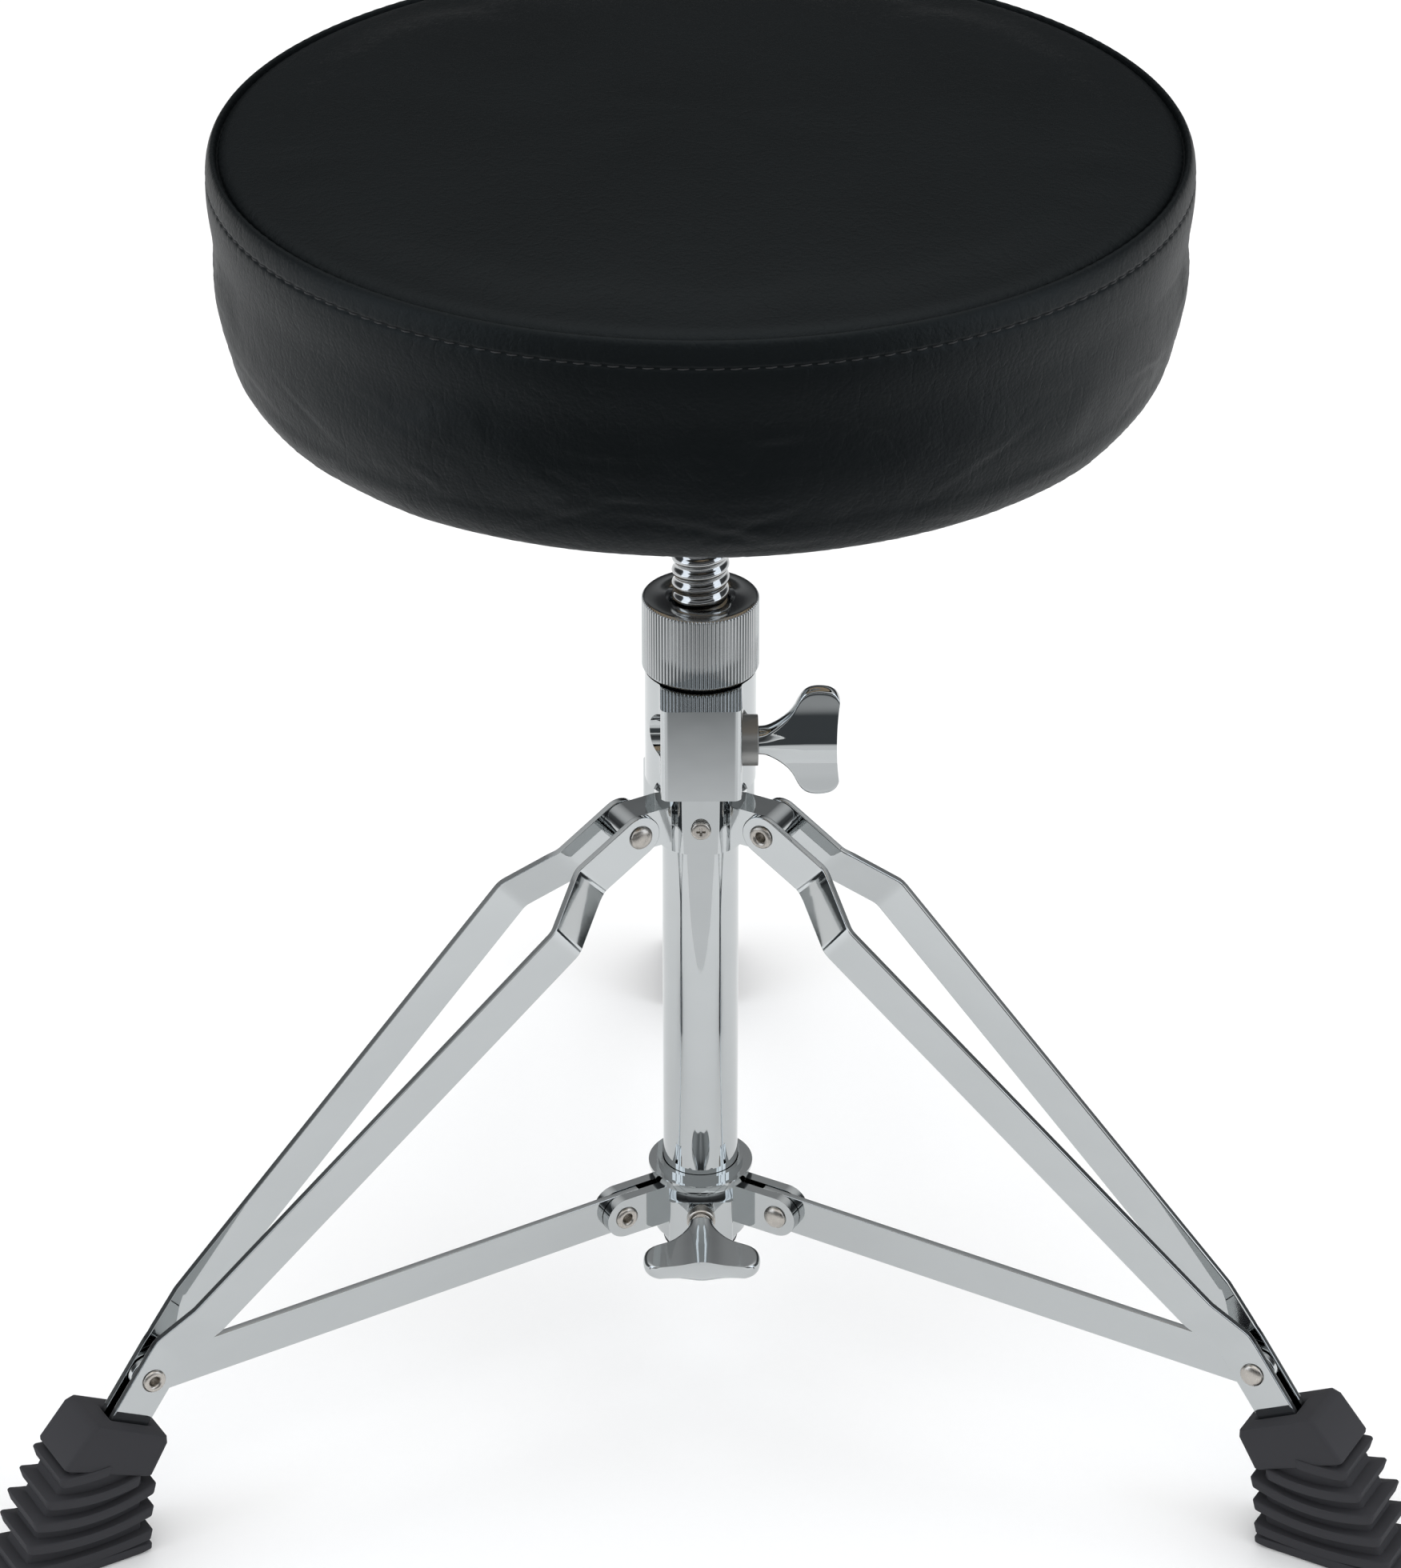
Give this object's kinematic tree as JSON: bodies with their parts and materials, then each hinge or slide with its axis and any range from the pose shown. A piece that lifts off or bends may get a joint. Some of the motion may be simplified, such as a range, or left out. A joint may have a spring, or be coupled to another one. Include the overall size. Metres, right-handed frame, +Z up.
{
  "type": "drum throne",
  "caption": "Drum throne: padded round swivel seat on a threaded height column, with a folding tripod of double-strip legs, a sliding collar and rubber feet.",
  "frame": {"origin": "bottom centre of the whole throne's bounding box, on the floor; the column's axis is at Y = -65.02 mm", "axes": "+Z up along the column, -Y to the side of the leg crown screw and both front legs, +Y towards the rear leg, +X towards the head of the clamp wing screw"},
  "size_m": [0.5338, 0.472, 0.5184],
  "materials": {
    "chrome": "polished",
    "satin_chrome": "satin",
    "threaded_steel": "plated thread",
    "nickel": "warm nickel plate",
    "raw_steel": "raw",
    "foot_rubber": "moulded",
    "black_plastic": "moulded",
    "seat_vinyl": "fine-grained vinyl leathercloth",
    "seat_foam": "open-cell foam",
    "plywood": "bare plywood"
  },
  "bodies": {
    "base": {"base_tube": "chrome", "guide_bush": "black_plastic", "tube_plug": "black_plastic", "leg_crown": "chrome", "crown_screw": "nickel", "clamp_housing": "chrome", "nut_washer": "black_plastic"},
    "height_nut": {"height_nut": "satin_chrome"},
    "spindle": {"spindle": "threaded_steel"},
    "seat": {"seat_hub": "raw_steel", "retaining_screw": "raw_steel", "seat_board": "plywood", "tee_nuts": "nickel", "seat_screws": "nickel", "seat_cover": "seat_vinyl", "seat_foam": "seat_foam"},
    "clamp_jaw_outer": {"clamp_jaw_outer": "raw_steel"},
    "clamp_jaw_inner": {"clamp_jaw_inner": "raw_steel"},
    "clamp_wing": {"clamp_wing_screw": "chrome"},
    "collar": {"sliding_collar": "chrome", "collar_bush": "black_plastic", "collar_rivet_rear": "nickel", "collar_rivet_left": "nickel", "collar_rivet_right": "nickel"},
    "collar_pad": {"collar_pad": "black_plastic"},
    "collar_wing": {"collar_wing_screw": "chrome"},
    "leg_rear": {"leg_strip_rear_a": "chrome", "leg_strip_rear_b": "chrome", "upper_rivet_rear": "nickel", "lower_rivet_rear": "nickel", "foot_rear": "foot_rubber"},
    "leg_left": {"leg_strip_left_a": "chrome", "leg_strip_left_b": "chrome", "upper_rivet_left": "nickel", "lower_rivet_left": "nickel", "foot_left": "foot_rubber"},
    "leg_right": {"leg_strip_right_a": "chrome", "leg_strip_right_b": "chrome", "upper_rivet_right": "nickel", "lower_rivet_right": "nickel", "foot_right": "foot_rubber"},
    "stay_rear": {"stay_rear": "chrome"},
    "stay_left": {"stay_left": "chrome"},
    "stay_right": {"stay_right": "chrome"}
  },
  "joints": [
    {"name": "spindle_height", "type": "slide", "parent": "base", "child": "spindle", "axis": [0, 0, 1], "range_m": [-0.045, 0.035]},
    {"name": "height_nut_turn", "type": "hinge", "parent": "base", "child": "height_nut", "pos_m": [0, -0.06501, 0.30205], "axis": [0, 0, 1], "range_deg": [-2385, 3060]},
    {"name": "seat_swivel", "type": "hinge", "parent": "spindle", "child": "seat", "pos_m": [0, -0.06501, 0.38065], "axis": [0, 0, 1], "continuous": true},
    {"name": "clamp_jaw_outer_slide", "type": "slide", "parent": "base", "child": "clamp_jaw_outer", "axis": [1, 0, 0], "range_m": [0, 0.00125]},
    {"name": "clamp_jaw_inner_slide", "type": "slide", "parent": "base", "child": "clamp_jaw_inner", "axis": [-1, 0, 0], "range_m": [0, 0.00125]},
    {"name": "clamp_screw_turn", "type": "hinge", "parent": "clamp_jaw_outer", "child": "clamp_wing", "pos_m": [0.0208, -0.08301, 0.28045], "axis": [1, 0, 0], "range_deg": [0, 720]},
    {"name": "collar_slide", "type": "slide", "parent": "base", "child": "collar", "axis": [0, 0, 1], "range_m": [0, 0.10095]},
    {"name": "collar_pad_slide", "type": "slide", "parent": "collar", "child": "collar_pad", "axis": [0, -1, 0], "range_m": [0, 0.0025]},
    {"name": "collar_screw_turn", "type": "hinge", "parent": "collar_pad", "child": "collar_wing", "pos_m": [0, -0.09501, 0.0732], "axis": [0, -1, 0], "range_deg": [0, 720]},
    {"name": "leg_fold_rear", "type": "hinge", "parent": "base", "child": "leg_rear", "pos_m": [0, -0.03451, 0.24225], "axis": [-1, 0, 0], "range_deg": [0, 45.5]},
    {"name": "stay_fold_rear", "type": "hinge", "parent": "collar", "child": "stay_rear", "pos_m": [0, -0.02901, 0.0732], "axis": [-1, 0, 0], "range_deg": [0, 84.74]},
    {"name": "leg_fold_left", "type": "hinge", "parent": "base", "child": "leg_left", "pos_m": [-0.02641, -0.08026, 0.24225], "axis": [0.5, -0.866, 0], "range_deg": [0, 45.5]},
    {"name": "stay_fold_left", "type": "hinge", "parent": "collar", "child": "stay_left", "pos_m": [-0.03118, -0.08301, 0.0732], "axis": [0.5, -0.866, 0], "range_deg": [0, 84.74]},
    {"name": "leg_fold_right", "type": "hinge", "parent": "base", "child": "leg_right", "pos_m": [0.02641, -0.08026, 0.24225], "axis": [0.5, 0.866, 0], "range_deg": [0, 45.5]},
    {"name": "stay_fold_right", "type": "hinge", "parent": "collar", "child": "stay_right", "pos_m": [0.03118, -0.08301, 0.0732], "axis": [0.5, 0.866, 0], "range_deg": [0, 84.74]}
  ],
  "couplings": [
    {"joint": "height_nut_turn", "follows": "spindle_height", "rad_per_m": -1185.5},
    {"joint": "clamp_screw_turn", "follows": "clamp_jaw_outer_slide", "rad_per_m": 10053},
    {"joint": "clamp_jaw_inner_slide", "follows": "clamp_jaw_outer_slide", "ratio": 1},
    {"joint": "collar_screw_turn", "follows": "collar_pad_slide", "rad_per_m": 5026.5},
    {"joint": "leg_fold_rear", "follows": "collar_slide", "rad_per_m": 7.8663},
    {"joint": "stay_fold_rear", "follows": "collar_slide", "rad_per_m": 14.65},
    {"joint": "leg_fold_left", "follows": "collar_slide", "rad_per_m": 7.8663},
    {"joint": "stay_fold_left", "follows": "collar_slide", "rad_per_m": 14.65},
    {"joint": "leg_fold_right", "follows": "collar_slide", "rad_per_m": 7.8663},
    {"joint": "stay_fold_right", "follows": "collar_slide", "rad_per_m": 14.65}
  ]
}
